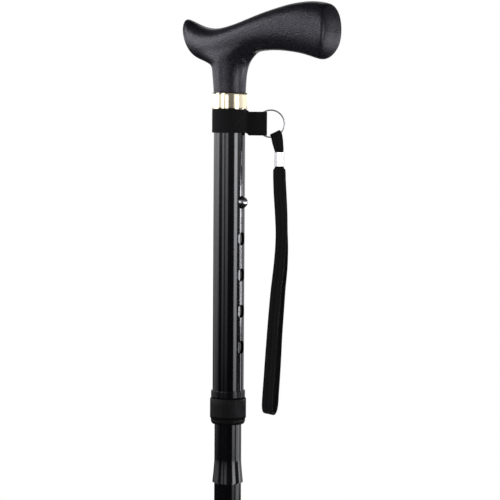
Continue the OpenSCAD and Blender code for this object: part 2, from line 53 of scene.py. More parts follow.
# camera at the photograph's viewing angle, sizes in mm
photoView = {"azimuth": 33, "distance": 1500, "height": 775, "lens": 154.5, "sensor": 36,
             "aimSide": 14.8, "aimHeight": 670, "roll": 0.35}
viewAngle = radians(photoView["azimuth"])
viewSide = Vector((cos(viewAngle), sin(viewAngle), 0))
viewBack = Vector((sin(viewAngle), -cos(viewAngle), 0))


def setUp(name, data, spot, turn):
    thing = bpy.data.objects.new(name, data)
    thing.location = spot
    thing.rotation_mode = "QUATERNION"
    thing.rotation_quaternion = turn
    scene.collection.objects.link(thing)
    return thing


def setCamera():
    view = photoView
    lens = bpy.data.cameras.new("photoCamera")
    lens.lens = view["lens"]
    lens.sensor_width = view["sensor"]
    aim = viewSide * view["aimSide"] + Vector((0, 0, view["aimHeight"]))
    spot = aim + viewBack * view["distance"] + Vector((0, 0, view["height"] - view["aimHeight"]))
    roll = Quaternion((0, 0, 1), radians(view["roll"]))
    scene.camera = setUp("photoCamera", lens, spot * mm, (aim - spot).to_track_quat("-Z", "Y") @ roll)


setCamera()
print("camera set")


# small node helpers; they work in the tree of the node or socket they are given
def setSockets(node, sockets):
    for key, value in sockets.items():
        node.inputs[key.replace("_", " ")].default_value = value


def addNode(near, kind, settings=None, **sockets):
    node = near.id_data.nodes.new("ShaderNode" + kind)
    for key, value in (settings or {}).items():
        setattr(node, key, value)
    setSockets(node, sockets)
    return node


def link(socket, node, inName):
    node.id_data.links.new(socket, node.inputs[inName])


def startMaterial(name, **sockets):
    material = bpy.data.materials.new(name)
    material.use_nodes = True
    shader = material.node_tree.nodes["Principled BSDF"]
    setSockets(shader, sockets)
    return material, shader


def coordsOf(shader, kind):
    return addNode(shader, "TexCoord").outputs[kind]


def splitAxes(socket):
    parts = addNode(socket, "SeparateXYZ")
    link(socket, parts, "Vector")
    return parts.outputs


def objectNoise(shader, scale, detail=3, roughness=0.5, stretch=(1, 1, 1)):
    mapping = addNode(shader, "Mapping", Scale=stretch)
    noise = addNode(shader, "TexNoise", Scale=scale, Detail=detail, Roughness=roughness)
    link(coordsOf(shader, "Object"), mapping, "Vector")
    link(mapping.outputs["Vector"], noise, "Vector")
    return noise.outputs["Fac"]


def setTone(shader, socket, *stops):
    ramp = addNode(shader, "ValToRGB")
    marks = ramp.color_ramp.elements
    while len(marks) < len(stops):
        marks.new(1)
    for mark, (place, tone) in zip(marks, stops):
        mark.position = place
        mark.color = (*tone, 1)
    link(socket, ramp, "Fac")
    link(ramp.outputs["Color"], shader, "Base Color")


def mapRange(socket, settings=None, **sockets):
    ranged = addNode(socket, "MapRange", settings, **sockets)
    link(socket, ranged, "Value")
    return ranged.outputs["Result"]


def setRoughness(shader, noise, smooth, rough):
    # noise stays mostly between a quarter and three quarters
    ranged = mapRange(noise, From_Min=0.25, From_Max=0.75, To_Min=smooth, To_Max=rough)
    link(ranged, shader, "Roughness")


def addBump(shader, height, strength, depth, under=None):
    bump = addNode(shader, "Bump", Strength=strength, Distance=depth)
    link(height, bump, "Height")
    if under:
        link(under, bump, "Normal")
    link(bump.outputs["Normal"], shader, "Normal")
    return bump.outputs["Normal"]


def mathNode(operation, first, second=0):
    node = addNode(first, "Math", {"operation": operation})
    link(first, node, 0)
    if isinstance(second, (int, float)):
        node.inputs[1].default_value = second
    else:
        link(second, node, 1)
    return node.outputs["Value"]


# finishes
def makeHandlePlastic():
    material, shader = startMaterial("handlePlastic", Specular_IOR_Level=0.66, Specular_Tint=(0.93, 0.91, 1, 1))
    grain = objectNoise(shader, scale=1150, roughness=0.65)
    setTone(shader, grain, (0.34, (0.005, 0.005, 0.0068)), (0.5, (0.011, 0.0105, 0.0145)),
            (0.68, (0.046, 0.044, 0.057)))
    setRoughness(shader, objectNoise(shader, scale=90, detail=2), 0.28, 0.34)
    pebble = addNode(shader, "TexVoronoi", {"feature": "SMOOTH_F1"}, Scale=1000)
    link(coordsOf(shader, "Object"), pebble, "Vector")
    soft = addBump(shader, pebble.outputs["Distance"], strength=0.3, depth=0.0005)
    addBump(shader, grain, strength=0.3, depth=0.0004, under=soft)
    return material


def makeTubeEnamel():
    material, shader = startMaterial("tubeEnamel", IOR=1.53, Coat_Weight=0.2, Coat_Roughness=0.06)
    cloud = objectNoise(shader, scale=30, detail=2)
    setTone(shader, cloud, (0.3, (0.003, 0.003, 0.0037)), (0.7, (0.0048, 0.0048, 0.006)))
    setRoughness(shader, objectNoise(shader, scale=500), 0.1, 0.14)
    addBump(shader, objectNoise(shader, scale=260, detail=2), strength=0.04, depth=0.0002)
    return material


def makePaleGold():
    material, shader = startMaterial("paleGold", Metallic=1)
    turned = objectNoise(shader, scale=1, detail=4, roughness=0.7, stretch=(60, 60, 5200))
    setTone(shader, turned, (0.3, (0.93, 0.8, 0.52)), (0.7, (0.98, 0.9, 0.7)))
    setRoughness(shader, turned, 0.1, 0.18)
    addBump(shader, turned, strength=0.03, depth=0.0001)
    return material


def makeBrightMetal(name, dark, light, smooth, rough):
    material, shader = startMaterial(name, Metallic=1)
    smear = objectNoise(shader, scale=420, detail=4, roughness=0.6)
    setTone(shader, smear, (0.3, dark), (0.7, light))
    scratch = objectNoise(shader, scale=1, roughness=0.7, stretch=(300, 300, 5000))
    setRoughness(shader, scratch, smooth, rough)
    addBump(shader, scratch, strength=0.03, depth=0.00005)
    return material


def makeMoulded(name, dark, light, smooth, rough, scale=1800, depth=0.0002, strength=0.25, shine=0.4):
    material, shader = startMaterial(name, Specular_IOR_Level=shine)
    grain = objectNoise(shader, scale, roughness=0.6)
    setTone(shader, grain, (0.32, dark), (0.7, light))
    setRoughness(shader, objectNoise(shader, scale=160, detail=2), smooth, rough)
    addBump(shader, grain, strength, depth)
    return material


# cloths take their weave from a map in mm: X across the piece, Y along it
def weaveWave(socket, pitch):
    return mathNode("SINE", mathNode("MULTIPLY", socket, 2 * pi / pitch))


def crossed(first, second):
    return mathNode("MULTIPLY", mathNode("MULTIPLY", first, second), 0.5)


def finishCloth(shader, weave, dark, light, smooth, rough, strength, depth, fuzzScale=2400, fuzzShare=0):
    cloth = mathNode("ADD", weave, 0.5)
    fuzz = objectNoise(shader, fuzzScale)
    setTone(shader, cloth, (0, dark), (1, light))
    setRoughness(shader, fuzz, smooth, rough)
    height = mathNode("ADD", cloth, mathNode("MULTIPLY", fuzz, fuzzShare))
    addBump(shader, height, strength, depth)


webbingShine = {"Sheen_Weight": 0.05, "Sheen_Roughness": 0.5, "Specular_IOR_Level": 0.2}


def makeWovenWebbing():
    material, shader = startMaterial("wovenWebbing", **webbingShine)
    axes = splitAxes(coordsOf(shader, "UV"))
    weave = crossed(weaveWave(axes["X"], pitch=0.85), weaveWave(axes["Y"], pitch=0.7))
    finishCloth(shader, weave, (0.0026, 0.0026, 0.003), (0.0155, 0.0155, 0.017),
                smooth=0.8, rough=0.95, strength=0.45, depth=0.0003, fuzzShare=0.5)
    return material


def makeBraidedStrap():
    material, shader = startMaterial("braidedStrap", **webbingShine)
    ribPitch, stitchPitch = 1.3, 1.1
    axes = splitAxes(coordsOf(shader, "UV"))
    zigzag = mathNode("ADD", axes["Y"], mathNode("PINGPONG", axes["X"], ribPitch))
    stitch = mathNode("MULTIPLY", weaveWave(zigzag, stitchPitch), 0.3)
    rib = mathNode("MULTIPLY", weaveWave(axes["X"], ribPitch), 0.2)
    braid = mathNode("ADD", stitch, rib)
    finishCloth(shader, braid, (0.0022, 0.0022, 0.0025), (0.0155, 0.0155, 0.017),
                smooth=0.78, rough=0.94, strength=0.5, depth=0.0004, fuzzShare=0.4)
    return material


def makeElasticBraid():
    material, shader = startMaterial("elasticBraid", Sheen_Weight=0.2, Specular_IOR_Level=0.3)
    axes = splitAxes(coordsOf(shader, "UV"))
    left, right = (weaveWave(mathNode(way, axes["X"], axes["Y"]), pitch=1.18)
                   for way in ("ADD", "SUBTRACT"))
    finishCloth(shader, crossed(left, right), (0.01, 0.01, 0.011), (0.05, 0.05, 0.054),
                smooth=0.7, rough=0.88, strength=0.5, depth=0.0003, fuzzScale=2000)
    return material


handlePlastic = makeHandlePlastic()
tubeEnamel = makeTubeEnamel()
paleGold = makePaleGold()
wovenWebbing = makeWovenWebbing()
braidedStrap = makeBraidedStrap()
elasticBraid = makeElasticBraid()
# darkest and lightest tone, smoothest and roughest place
brightPlate = makeBrightMetal("brightPlate", (0.74, 0.74, 0.76), (0.84, 0.84, 0.86), 0.18, 0.26)
pressedMetal = makeBrightMetal("pressedMetal", (0.92, 0.92, 0.925), (0.97, 0.97, 0.975), 0.12, 0.17)
ringWire = makeBrightMetal("ringWire", (0.74, 0.74, 0.76), (0.84, 0.84, 0.86), 0.34, 0.48)
stampedSteel = makeBrightMetal("stampedSteel", (0.48, 0.48, 0.49), (0.6, 0.6, 0.61), 0.22, 0.38)
nutNylon = makeMoulded("nutNylon", (0.0028, 0.0028, 0.0033), (0.0065, 0.0065, 0.0076), 0.42, 0.56, shine=0.22)
sleeveGloss = makeMoulded("sleeveGloss", (0.003, 0.003, 0.0036), (0.006, 0.006, 0.007), 0.16, 0.26,
                          scale=700, depth=0.0001, strength=0.1)
# painted shade: the bore inside the tube and the cut walls of its holes are made near black and dull, standing for
# the shade in them
paintedShadeBore = makeMoulded("paintedShadeBore", (0.0015, 0.0015, 0.0018), (0.003, 0.003, 0.0034), 0.6, 0.75,
                        scale=600, depth=0.0001, strength=0.1, shine=0.08)
naturalNylon = makeMoulded("naturalNylon", (0.6, 0.59, 0.54), (0.72, 0.71, 0.66), 0.38, 0.52)
plugPlastic = makeMoulded("plugPlastic", (0.026, 0.026, 0.029), (0.045, 0.045, 0.049), 0.36, 0.5)
tipRubber = makeMoulded("tipRubber", (0.012, 0.012, 0.0125), (0.024, 0.024, 0.025), 0.68, 0.85,
                        scale=1200, depth=0.0003, strength=0.35)
print("finishes made:", len(bpy.data.materials))


# shape helpers, given in mm
def addPiece(name, bm, material, body=None, nodes=(), slot=None):
    mesh = bpy.data.meshes.new(name)
    bm.to_mesh(mesh)
    bm.free()
    mesh.materials.append(material)
    mesh.shade_smooth()
    piece = bpy.data.objects.new(name, mesh)
    scene.collection.objects.link(piece)
    if body:
        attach(piece, body)
    if nodes:
        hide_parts(*nodes)
    return piece


# gives an open sheet its thickness and rounds its edges
def addWall(piece, thick, offset, edgeWidth, segments=2, angle=30, harden=False):
    wall = piece.modifiers.new("wall", "SOLIDIFY")
    wall.thickness = thick * mm
    wall.offset = offset
    edge = piece.modifiers.new("edge", "BEVEL")
    edge.width = edgeWidth * mm
    edge.segments = segments
    edge.limit_method = "ANGLE"
    edge.angle_limit = radians(angle)
    edge.harden_normals = harden
    return wall


def drawLine(bm, spots, closed=False):
    line = [bm.verts.new(spot) for spot in spots]
    edges = [bm.edges.new(pair) for pair in zip(line, line[1:])]
    if closed:
        edges.append(bm.edges.new((line[-1], line[0])))
    return line, edges


def extrudeEdges(bm, edges, shift=(0, 0, 0)):
    grown = bmesh.ops.extrude_edge_only(bm, edges=edges)["geom"]
    kinds = (bmesh.types.BMVert, bmesh.types.BMEdge)
    verts, edges = ([part for part in grown if isinstance(part, kind)] for kind in kinds)
    bmesh.ops.translate(bm, vec=shift, verts=verts)
    return verts, edges


def openEdges(edges):
    return [e for e in edges if len(e.link_faces) == 1]


def edgesOf(verts):
    return list({e for v in verts for e in v.link_edges})


def faceOut(bm):
    bmesh.ops.recalc_face_normals(bm, faces=bm.faces)


def wholeOf(bm):
    return bm.verts[:] + bm.edges[:] + bm.faces[:]


def roundEdges(bm, edges, width, segments):
    bmesh.ops.bevel(bm, geom=edges, offset=width, offset_type="OFFSET", affect="EDGES", segments=segments,
                    profile=0.5, material=-1, clamp_overlap=True)


# turns and moves a piece drawn in mm
def putAt(bm, place):
    bmesh.ops.transform(bm, matrix=Matrix.Scale(mm, 4) @ place, verts=bm.verts)


def spinLine(bm, line, angle, steps, **more):
    bmesh.ops.spin(bm, geom=line, cent=(0, 0, 0), axis=(0, 0, 1), angle=angle, steps=steps, **more)


# a round piece: its profile is spun, then its corners are rounded
def spinPiece(name, points, bevel, segments, material, *where, steps=96, closed=True, angle=35):
    bm = bmesh.new()
    line, edges = drawLine(bm, [(r * mm, 0, z * mm) for r, z in points], closed)
    spinLine(bm, line + edges, 2 * pi, steps, use_merge=True)
    bmesh.ops.remove_doubles(bm, verts=bm.verts, dist=1e-7)
    faceOut(bm)
    corners = [e for e in bm.edges if len(e.link_faces) == 2 and e.calc_face_angle() > radians(angle)]
    roundEdges(bm, corners, bevel * mm, segments)
    addPiece(name, bm, material, *where)


# curve through all points, with a few steps between each two
def smoothLine(points, steps):
    line = []
    last = len(points) - 1
    for i in range(last):
        a, b, c, d = (Vector(points[k]) for k in (max(i - 1, 0), i, i + 1, min(i + 2, last)))
        square, cube = 2 * a - 5 * b + 4 * c - d, 3 * b - a - 3 * c + d
        for t in (k / steps for k in range(steps)):
            line.append(0.5 * (2 * b + (c - a) * t + square * t * t + cube * t ** 3))
    line.append(Vector(points[last]))
    return line


def anglesOf(steps, whole=2 * pi):
    return [whole * k / steps for k in range(steps)]


def ringOf(radii, z):
    return [Vector((r * cos(a), r * sin(a), z)) * mm for r, a in zip(radii, anglesOf(len(radii)))]


def bridgeRings(bm, loops):
    rings = []
    for spots in loops:
        ring = bmesh.ops.create_circle(bm, segments=len(spots), radius=1)["verts"]
        for vert, spot in zip(ring, spots):
            vert.co = spot
        rings.append((ring, edgesOf(ring)))
    for (_, first), (_, second) in zip(rings, rings[1:]):
        bmesh.ops.bridge_loops(bm, edges=first + second)
    return rings


def capEnds(bm, rings):
    for _, edges in (rings[0], rings[-1]):
        bmesh.ops.edgeloop_fill(bm, edges=edges)


# weave map in mm; a face across the seam goes on past the whole length
def mapWeave(bm, places, whole):
    uv = bm.loops.layers.uv.new("weave")
    for f in bm.faces:
        spots = [places[v] for v in f.verts]
        marks = [u for u, _ in spots]
        seam = max(marks) - min(marks) > whole / 2
        for corner, (u, v) in zip(f.loops, spots):
            corner[uv].uv = (u + whole if seam and u < whole / 2 else u, v)


def loftCloth(name, loops, lengths, girth, material, *where):
    bm = bmesh.new()
    rings = bridgeRings(bm, loops)
    capEnds(bm, rings)
    places = {}
    for (ring, _), along in zip(rings, lengths):
        places.update((v, (k / len(ring) * girth, along)) for k, v in enumerate(ring))
    mapWeave(bm, places, girth)
    faceOut(bm)
    return addPiece(name, bm, material, *where)


def runLengths(points):
    lengths = [0]
    for a, b in zip(points, points[1:]):
        lengths.append(lengths[-1] + (b - a).length)
    return lengths


def ease(t):
    t = max(0, min(1, t))
    return t * t * (3 - 2 * t)


def signedPower(value, power):
    return abs(value) ** power * (1 if value >= 0 else -1)


# wrist strap: flat braided webbing that hangs in a loop from its crimp, route as in the part's source
strap = {"width": 8, "thick": 1.4, "sides": 20, "flatPower": 0.45, "liftPower": 0.7, "dish": 0.12,
         "crimpU": 34.893, "crimpZ": 733.356, "crimpTall": 10.5, "crimpTurn": 12, "crimpLong": 8,
         "pinch": 5.6, "openLong": 2, "legV": 0.85, "seat": 0.15, "steps": 4,
         "fan": 0.42, "fanLong": 10, "closeDrop": 22, "closeLong": 26,
         "turn": 21, "turnDrop": 20, "turnLong": 50, "foldTilt": 0.14, "tiltDrop": 100, "tiltLong": 60}
strapRoute = [
    (0, -1, 0), (0, -1, -6), (0.05, -1.05, -7.5), (0.1, -1.15, -9), (0.2, -1.4, -14), (0.6, -2.1, -24),
    (1.2, -2.8, -36), (1.6, -3.5, -50), (1.2, -4.2, -62), (0, -4.9, -76), (-1.6, -5.5, -90), (-3, -6, -106),
    (-4.2, -6.35, -122), (-5.3, -6.6, -138), (-6.2, -6.7, -152), (-7, -6.6, -164), (-7.4, -6, -171),
    (-7.2, -4.5, -175.6), (-6.4, -1.9, -178), (-5.2, 1.4, -178.3), (-4, 4.2, -176.2), (-3.2, 5.9, -172),
    (-2.8, 6.6, -165), (-2, 6.7, -152), (-1.3, 6.6, -138), (-0.6, 6.35, -122), (0.4, 6, -106), (1.4, 5.5, -90),
    (2.6, 4.9, -76), (2.9, 4.2, -62), (2.4, 3.5, -50), (1.8, 2.8, -36), (0.9, 2.1, -24), (0.3, 1.4, -14),
    (0.15, 1.15, -9), (0.05, 1.05, -7.5), (0, 1, -6), (0, 1, 0)]
tabAngle = 33
tabTurn = Matrix.Rotation(radians(tabAngle), 4, "Z")  # from the tab's own frame, where it points along +X


def webbingRings(points, acrosses, widths):
    s = strap
    loops = []
    last = len(points) - 1
    for i, (point, across, width) in enumerate(zip(points, acrosses, widths)):
        along = (points[min(i + 1, last)] - points[max(i - 1, 0)]).normalized()
        face = along.cross(across).normalized()
        side = face.cross(along)
        spots = []
        for a in anglesOf(s["sides"]):
            flat = signedPower(cos(a), s["flatPower"]) * width / 2
            dished = 1 - s["dish"] * cos(2 * pi * flat / width)
            lift = signedPower(sin(a), s["liftPower"]) * s["thick"] / 2 * dished
            spots.append(tabTurn @ (point + side * flat + face * lift) * mm)
        loops.append(spots)
    return loops


def makeWebbing(name, points, acrosses, widths, node):
    girth = 2 * (strap["width"] + strap["thick"])
    return loftCloth(name, webbingRings(points, acrosses, widths), runLengths(points), girth, braidedStrap,
                     "wrist_strap", [node], "webbing")


def makeWristStrap():
    s = strap
    top = s["crimpZ"] - s["seat"]
    route = []
    for u, v, z in strapRoute:
        # the two layers slip sideways below the crimp and meet again further down
        slip = s["fan"] * ease(-z / s["fanLong"]) * (1 - ease((-z - s["closeDrop"]) / s["closeLong"]))
        route.append((s["crimpU"] + u + slip * (1 if v > 0 else -1), v * s["legV"], top + z))
    points = smoothLine(route, s["steps"])
    acrosses, widths = [], []
    for drop in (top - p.z for p in points):
        crimpTurn = s["crimpTurn"] * ease((s["crimpTall"] - drop) / s["crimpLong"])
        turn = -radians(crimpTurn + s["turn"] * ease((drop - s["turnDrop"]) / s["turnLong"]))
        tilt = -s["foldTilt"] * ease((drop - s["tiltDrop"]) / s["tiltLong"])
        acrosses.append(Vector((cos(turn), sin(turn), tilt)))
        opened = ease((drop - s["crimpTall"] / 2) / s["openLong"])
        widths.append(s["pinch"] + (s["width"] - s["pinch"]) * opened)
    return makeWebbing("wristStrap", points, acrosses, widths, "wrist_strap"), points


# upper loop of the strap, folded over the ring's wire
eye = {"wireU": 32.893, "wireZ": 749.956, "wireR": 0.55, "ringR": 9.45, "halfWide": 4, "gap": 0.15, "tilt": 26,
       "foldSteps": 8, "steps": 3, "openLong": 9, "lip": 0.9, "lipUnder": 0.6, "lipLong": 1.4}


def makeStrapEye():
    s, e = strap, eye
    tilt = radians(e["tilt"])
    wire = Vector((e["wireU"], 0, e["wireZ"]))
    up = Vector((-sin(tilt), 0, cos(tilt)))
    sag = e["ringR"] - sqrt(e["ringR"] ** 2 - e["halfWide"] ** 2)  # the wire curves across the strap's width
    radius = e["wireR"] + sag + e["gap"] + s["thick"] / 2
    foot = s["crimpZ"] + s["crimpTall"] / 2
    legs = [Vector((s["crimpU"], s["legV"], s["crimpZ"] + s["seat"])), Vector((s["crimpU"], s["legV"], foot)),
            Vector(((s["crimpU"] + wire.x) / 2, (s["legV"] + radius) / 2, (foot + wire.z) / 2))]
    turns = anglesOf(e["foldSteps"], pi) + [pi]
    fold = [wire + radius * (Vector((0, -cos(a), 0)) + sin(a) * up) for a in turns]
    points = smoothLine([Vector((p.x, -p.y, p.z)) for p in legs] + fold + legs[::-1], e["steps"])
    acrosses, widths = [], []
    for rise in (p.z - foot for p in points):
        share = ease(rise / (wire.z - foot))
        twist = -radians(s["crimpTurn"]) * (1 - share)
        acrosses.append(Vector((cos(share * tilt) * cos(twist), sin(twist), sin(share * tilt))))
        lip = e["lip"] * ease((rise + e["lipUnder"]) / e["lipLong"])
        widths.append(s["pinch"] + lip + (s["width"] - s["pinch"] - e["lip"]) * ease(rise / e["openLong"]))
    return makeWebbing("strapEye", points, acrosses, widths, "strap_eye")


# sheet-metal crimp, folded round the strap with its seam behind
crimp = {"wide": 6.5, "deep": 4.2, "tall": 9.9, "lift": 0.3, "round": 1.1, "roundSteps": 5, "wall": 0.4,
         "seam": 0.14, "edge": 0.08}


def makeCrimp():
    c = crimp
    bm = bmesh.new()
    bmesh.ops.create_cube(bm, size=1)
    bmesh.ops.scale(bm, vec=(c["wide"], c["deep"], c["tall"]), verts=bm.verts)
    caps = [f for f in bm.faces if abs(f.normal.z) > 0.9]
    bmesh.ops.delete(bm, geom=caps, context="FACES_ONLY")
    upright = [e for e in bm.edges if abs(e.verts[0].co.z - e.verts[1].co.z) > c["tall"] / 2]
    roundEdges(bm, upright, c["round"], c["roundSteps"])
    for side in (-c["seam"], c["seam"]):
        bmesh.ops.bisect_plane(bm, geom=wholeOf(bm), plane_co=(side, 0, 0), plane_no=(1, 0, 0))
    centres = {f: f.calc_center_median() for f in bm.faces}
    seam = [f for f, centre in centres.items() if abs(centre.x) < c["seam"] / 2 and centre.y > 0]
    bmesh.ops.delete(bm, geom=seam, context="FACES")
    faceOut(bm)
    middle = Matrix.Translation((strap["crimpU"], 0, strap["crimpZ"] + c["lift"]))
    putAt(bm, tabTurn @ middle @ Matrix.Rotation(-radians(strap["crimpTurn"]), 4, "Z"))
    piece = addPiece("strapCrimp", bm, pressedMetal, "wrist_strap", ["strap_crimp"], "crimp")
    addWall(piece, c["wall"], -1, c["edge"], harden=True)
    return piece


wristStrap, strapLine = makeWristStrap()
strapEye = makeStrapEye()
strapCrimp = makeCrimp()
strapPath = [tabTurn @ p * mm for p in strapLine]
strapLong = runLengths(strapPath)[-1]
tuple(strapPath[0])
print("wrist strap hangs,", round(strapLong, 3), "m long")

# handle: a lofted bar, opened below for the stem, then smoothed
handle = {"foot": 781, "sides": 24, "power": 2.5, "nosePower": 1.9, "noseX": -34, "swell": 1.008,
          "cheek": 0.985, "palmTuck": 4.8, "reach": 81.4, "endMid": 40.5, "endHalf": 18.7, "crease": 0.8,
          "levels": 3}
# place along the bar, top, bottom and half thickness
gripStations = [
    (-37.6, 46.9, 42.2, 1.7), (-37.4, 48.8, 39.4, 3.5), (-36.5, 50.2, 35.6, 5.4), (-34.8, 50.5, 30.8, 7.2),
    (-31, 49, 25.4, 8.8), (-25.5, 46.6, 22.4, 10.1), (-20, 44.5, 20.6, 11.1), (-10, 43.1, 20.1, 12.4),
    (0, 44.8, 21.4, 13.1), (10, 47.5, 23.8, 13.2), (20, 51, 26.8, 13.2), (30, 54.3, 28, 13.2),
    (40, 57, 28.1, 13.2), (50, 59.5, 27.2, 13.2), (60, 60.9, 25.8, 13.3), (68, 61.2, 24, 13.35),
    (74, 60.6, 22.5, 13.4), (78, 59.9, 21.7, 13.5), (80.2, 59.1, 21.5, 13.5), (81.6, 57.8, 21.9, 13.3),
    (82.7, 55.8, 23.2, 12.6), (83.4, 53, 25.8, 11.2), (83.8, 49.6, 29.6, 8.4), (83.95, 45.2, 34.2, 4.4)]
# the opening runs between two stations, and between two points round the bar's underside
opening = {"fromRow": 6, "toRow": 10, "fromSide": 14, "toSide": 22}
# heights above the foot at nose and palm, reach to the nose, to the palm and to the sides
stemRings = [
    (19, 24, 16, 18.2, 12.9), (17.6, 20.8, 13.4, 15.4, 12.7), (15.2, 17, 12.6, 13.3, 12.45),
    (11, 12, 12.25, 12.1, 12.1), (7, 7.2, 11.85, 11.55, 11.8), (2.4, 2.4, 11.5, 11.4, 11.5),
    (-0.5, -0.5, 11.3, 11.3, 11.3), (-1.1, -1.1, 11.2, 11.2, 11.2)]
# height and radius of the plug that goes into the tube
stemPlug = [(-1.1, 9.75), (-2.6, 9.75), (-39, 9.75), (-40, 8.75)]


def makeHandle():
    h, o = handle, opening
    angles = anglesOf(h["sides"])
    bm = bmesh.new()
    crease = bm.edges.layers.float.new("crease_edge")
    loops = []
    for x, top, bottom, half in gripStations:
        mid, tall = (top + bottom) / 2, (top - bottom) / 2 * h["swell"]
        power = h["power"] + (h["nosePower"] - h["power"]) * ease(x / h["noseX"])  # rounder towards the nose
        spots = []
        for k, a in enumerate(angles):
            up = mid + tall * signedPower(sin(a), 2 / power)
            tuck = h["palmTuck"] * max(0, x / h["reach"]) ** 3 * max(0, (h["endMid"] - up) / h["endHalf"]) ** 2
            wide = half * h["swell"] * signedPower(cos(a), 2 / power)
            if k in (o["fromSide"], o["toSide"]) and o["fromRow"] < len(loops) < o["toRow"]:
                wide = half * h["cheek"] * (1 if wide > 0 else -1)  # keeps the stem's sides in line with the bar's
            spots.append(Vector((x - tuck, wide, h["foot"] + up)) * mm)
        loops.append(spots)
    rings = bridgeRings(bm, loops)
    capEnds(bm, rings)
    openRows = rings[o["fromRow"]:o["toRow"] + 1]
    below = {v for ring, _ in openRows for v in ring[o["fromSide"]:o["toSide"] + 1]}
    bmesh.ops.delete(bm, geom=[f for f in bm.faces if below.issuperset(f.verts)], context="FACES")
    rim = openEdges(bm.edges)
    stem = []
    for noseUp, palmUp, nose, palm, side in stemRings + [(up, up, r, r, r) for up, r in stemPlug]:
        spots = []
        for a in angles:
            up = (noseUp + palmUp) / 2 + (palmUp - noseUp) / 2 * cos(a)
            x = (nose if cos(a) < 0 else palm) * cos(a) * h["swell"]
            spots.append(Vector((x, side * sin(a) * h["swell"], h["foot"] + up)) * mm)
        stem.append(spots)
    stemLoops = bridgeRings(bm, stem)
    bmesh.ops.bridge_loops(bm, edges=rim + stemLoops[0][1])
    bmesh.ops.edgeloop_fill(bm, edges=stemLoops[-1][1])
    # firm edges where the stem ends and its plug begins
    for e in stemLoops[len(stemRings) - 1][1] + stemLoops[len(stemRings)][1]:
        e[crease] = h["crease"]
    faceOut(bm)
    piece = addPiece("handleGrip", bm, handlePlastic, "upper_shaft", ["handle_grip"], "handle")
    soft = piece.modifiers.new("soft", "SUBSURF")
    soft.levels = h["levels"]
    soft.render_levels = h["levels"]


makeHandle()
print("handle made")

# polished collar
collar = {"low": 768.1, "high": 779.9, "outer": 12.3, "inner": 11.05, "rim": 0.6, "support": 1.6, "steps": 128}


def makeCollar():
    c = collar
    heights = (c["low"], c["low"] + c["support"], (c["low"] + c["high"]) / 2, c["high"] - c["support"], c["high"])
    profile = [(c["inner"], c["low"])] + [(c["outer"], z) for z in heights] + [(c["inner"], c["high"])]
    spinPiece("goldCollar", profile, c["rim"], 4, paleGold, "upper_shaft", ["gold_collar"], "collar",
              steps=c["steps"])


makeCollar()

# upper and inner tube: a flat sheet is drilled, then rolled up
sheet = {"around": 120, "rowTall": 1.0583, "wall": 1.2, "edge": 0.2, "edgeAngle": 50,
         "holeR": 4.4, "cellsAround": 10, "cellsTall": 6, "holeRings": (0.4, 0.75, 1)}
upper = {"radius": 11, "low": 567.4, "high": 779.9, "topHole": 703.7, "holes": 5, "step": 25.4}
lower = {"radius": 9.5, "bellLong": 16, "flare": 1.35, "power": 1.25, "top": 719.7, "foot": 10.5, "bevel": 0.25}
mouths = (506.1, 337.4, 168.7)  # heights of the bells' mouths, at the three folding joints


def drillHole(bm, shaft, cell, tall, z, middle):
    s = sheet

    def near(spot, more):
        wide, high = (s["cellsAround"] + more) * cell, (s["cellsTall"] + more) * tall
        return abs(spot.x) < wide and abs(spot.y - middle) < high

    bmesh.ops.delete(bm, geom=[f for f in bm.faces if near(f.calc_center_median(), 0)], context="FACES")
    rim = [e for e in openEdges(bm.edges) if all(near(v.co, 0.5) for v in e.verts)]
    starts = {v: (v.co.x, v.co.y - z) for e in rim for v in e.verts}
    # rings of faces lead from the square gap to the round hole
    for share in s["holeRings"]:
        verts, edges = extrudeEdges(bm, rim)
        moved = {}
        for v in verts:
            x, y = next(starts[o] for o in (e.other_vert(v) for e in v.link_edges) if o in starts)
            turn = atan2(y, x)
            holeX, holeY = shaft * asin(s["holeR"] * cos(turn) / shaft), s["holeR"] * sin(turn)
            v.co = Vector((x + (holeX - x) * share, z + y + (holeY - y) * share, 0))
            moved[v] = (x, y)
        starts, rim = moved, openEdges(edges)


def rollTube(name, radiusAt, low, high, holes, body, node):
    s = sheet
    bm = bmesh.new()
    shaft = radiusAt(high)
    rows = round((high - low) / s["rowTall"])
    cell, tall = 2 * pi * shaft / s["around"], (high - low) / rows
    bmesh.ops.create_grid(bm, x_segments=s["around"], y_segments=rows, size=1)
    bmesh.ops.scale(bm, vec=(pi * shaft, (high - low) / 2, 1), verts=bm.verts)
    bmesh.ops.translate(bm, vec=(0, (high + low) / 2, 0), verts=bm.verts)
    for z in holes:
        drillHole(bm, shaft, cell, tall, z, low + round((z - low) / tall) * tall)
    for v in bm.verts:
        radius, angle = radiusAt(v.co.y), v.co.x / shaft
        v.co = Vector((radius * cos(angle), radius * sin(angle), v.co.y)) * mm
    bmesh.ops.remove_doubles(bm, verts=bm.verts, dist=1e-6)
    faceOut(bm)
    if sum(f.normal.xy.dot(f.calc_center_median().xy) for f in bm.faces) < 0:
        bmesh.ops.reverse_faces(bm, faces=bm.faces)
    piece = addPiece(name, bm, tubeEnamel, body, [node], "tube")
    # second finish, for the inside and the holes' cut walls: painted shade, near black and dull
    piece.data.materials.append(paintedShadeBore)
    wall = addWall(piece, s["wall"], -1, s["edge"], angle=s["edgeAngle"], harden=True)
    wall.material_offset = 1
    wall.material_offset_rim = 1


def bellRadius(mouth):
    def radiusAt(z):
        t = max(0, min(1, 1 - (z - mouth) / lower["bellLong"]))
        return lower["radius"] + lower["flare"] * t ** lower["power"]
    return radiusAt


holes = [upper["topHole"] - upper["step"] * i for i in range(upper["holes"])]
rollTube("upperTube", lambda z: upper["radius"], upper["low"], upper["high"], holes,
         "upper_shaft", "upper_tube")
rollTube("innerTube", bellRadius(mouths[0]), mouths[0], lower["top"], holes[:1], "inner_shaft", "inner_tube")
print("upper and inner tube rolled")

